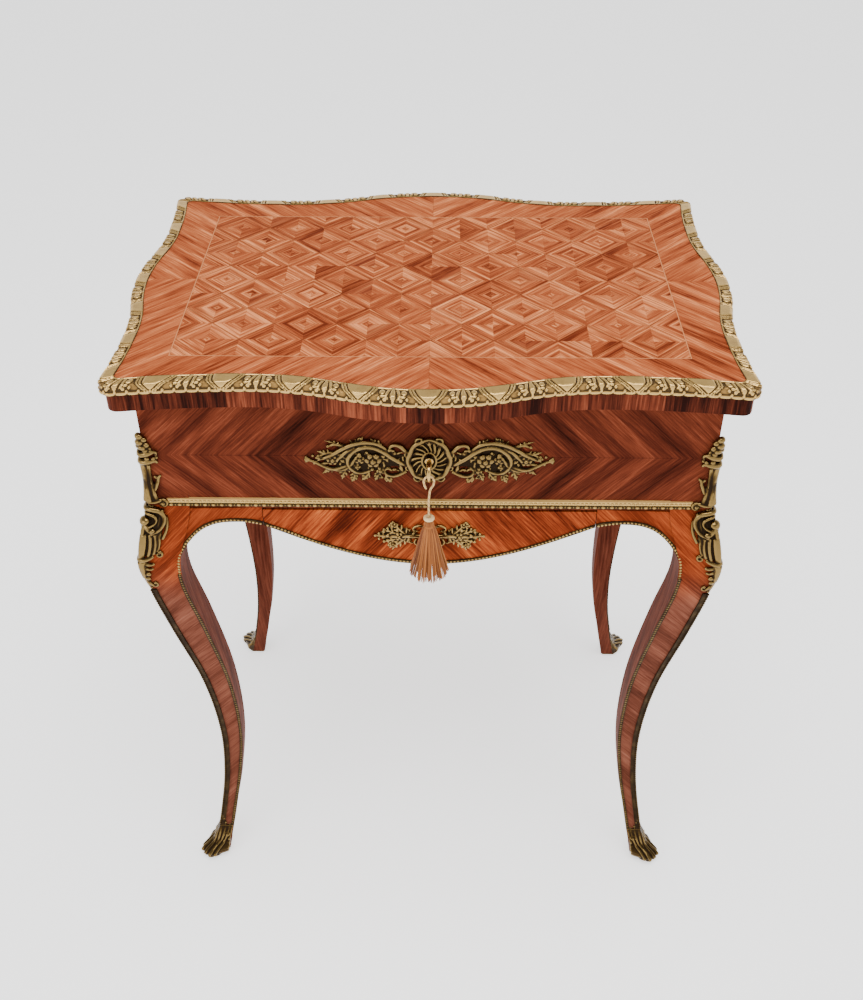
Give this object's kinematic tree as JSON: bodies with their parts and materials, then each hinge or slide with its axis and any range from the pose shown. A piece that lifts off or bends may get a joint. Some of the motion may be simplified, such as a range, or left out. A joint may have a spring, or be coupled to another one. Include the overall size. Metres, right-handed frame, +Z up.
{
  "type": "work table",
  "caption": "Serpentine work table with a hinged parquetry lid over a divided compartment, a shallow apron drawer, cabriole legs, brass mounts, and a key with a tassel.",
  "frame": {"origin": "centre of the table on the floor", "axes": "+Z up, +Y from the drawer front to the hinged back, +X to the right seen from the front"},
  "size_m": [0.6178, 0.4594, 0.7225],
  "materials": {
    "veneer_top": "polished parquetry veneer",
    "veneer_case": "polished cross-grained veneer",
    "wood_inside": "plain waxed wood",
    "gilt_brass": "aged gilt casting with dark recesses",
    "hinge_brass": "satin brass",
    "lock_steel": "dull steel",
    "cord_cream": "twisted cream cord",
    "thread_gold": "gold tassel threads"
  },
  "bodies": {
    "case": {"back_apron": "veneer_case", "back_beading": "gilt_brass", "back_left_corner_mount": "gilt_brass", "back_left_leg": "veneer_case", "back_left_sabot": "gilt_brass", "back_panel": "veneer_case", "back_right_corner_mount": "gilt_brass", "back_right_leg": "veneer_case", "back_right_sabot": "gilt_brass", "back_waist_moulding": "gilt_brass", "compartment_floor": "wood_inside", "cross_partitions": "wood_inside", "drawer_left_runner": "wood_inside", "drawer_right_runner": "wood_inside", "front_left_beading": "gilt_brass", "front_left_bracket": "veneer_case", "front_left_corner_mount": "gilt_brass", "front_left_leg": "veneer_case", "front_left_sabot": "gilt_brass", "front_panel": "veneer_case", "front_right_beading": "gilt_brass", "front_right_bracket": "veneer_case", "front_right_corner_mount": "gilt_brass", "front_right_leg": "veneer_case", "front_right_sabot": "gilt_brass", "front_waist_moulding": "gilt_brass", "hinge_case_leaves": "hinge_brass", "hinge_pins": "hinge_brass", "keyhole_mount": "gilt_brass", "left_apron": "veneer_case", "left_beading": "gilt_brass", "left_panel": "veneer_case", "left_waist_moulding": "gilt_brass", "leg_corner_strips": "gilt_brass", "lid_lock_case": "lock_steel", "long_partition": "wood_inside", "right_apron": "veneer_case", "right_beading": "gilt_brass", "right_panel": "veneer_case", "right_waist_moulding": "gilt_brass"},
    "lid": {"lid_panel": "veneer_top", "lid_lipping": "veneer_case", "lid_moulding": "gilt_brass", "link_plate": "hinge_brass", "hinge_lid_leaves": "hinge_brass"},
    "drawer": {"drawer_back": "wood_inside", "drawer_beading": "gilt_brass", "drawer_bottom": "wood_inside", "drawer_front": "veneer_case", "drawer_left_side": "wood_inside", "drawer_mount": "gilt_brass", "drawer_right_side": "wood_inside"},
    "key": {"key": "lock_steel"},
    "lock_bolt": {"lid_lock_bolt": "lock_steel"},
    "tassel": {"tassel_cord": "cord_cream", "tassel_bead": "cord_cream", "tassel_skirt": "thread_gold"}
  },
  "joints": [
    {"name": "lid_hinge", "type": "hinge", "parent": "case", "child": "lid", "pos_m": [0, 0.19, 0.6915], "axis": [-1, 0, 0], "range_deg": [0, 95]},
    {"name": "drawer_slide", "type": "slide", "parent": "case", "child": "drawer", "axis": [0, -1, 0], "range_m": [0, 0.2], "deforming": ["tassel_cord", "tassel_bead", "tassel_skirt"]},
    {"name": "key_turn", "type": "hinge", "parent": "case", "child": "key", "pos_m": [0, -0.2, 0.6315], "axis": [0, 1, 0], "range_deg": [0, 180], "deforming": ["tassel_cord", "tassel_bead", "tassel_skirt"]},
    {"name": "bolt_slide", "type": "slide", "parent": "case", "child": "lock_bolt", "axis": [1, 0, 0], "range_m": [0, 0.007]},
    {"name": "tassel_swing", "type": "hinge", "parent": "case", "child": "tassel", "pos_m": [0, -0.2135, 0.623], "axis": [0, 1, 0], "range_deg": [-35, 35]}
  ],
  "couplings": [
    {"joint": "bolt_slide", "follows": "key_turn", "m_per_rad": 0.002228}
  ]
}
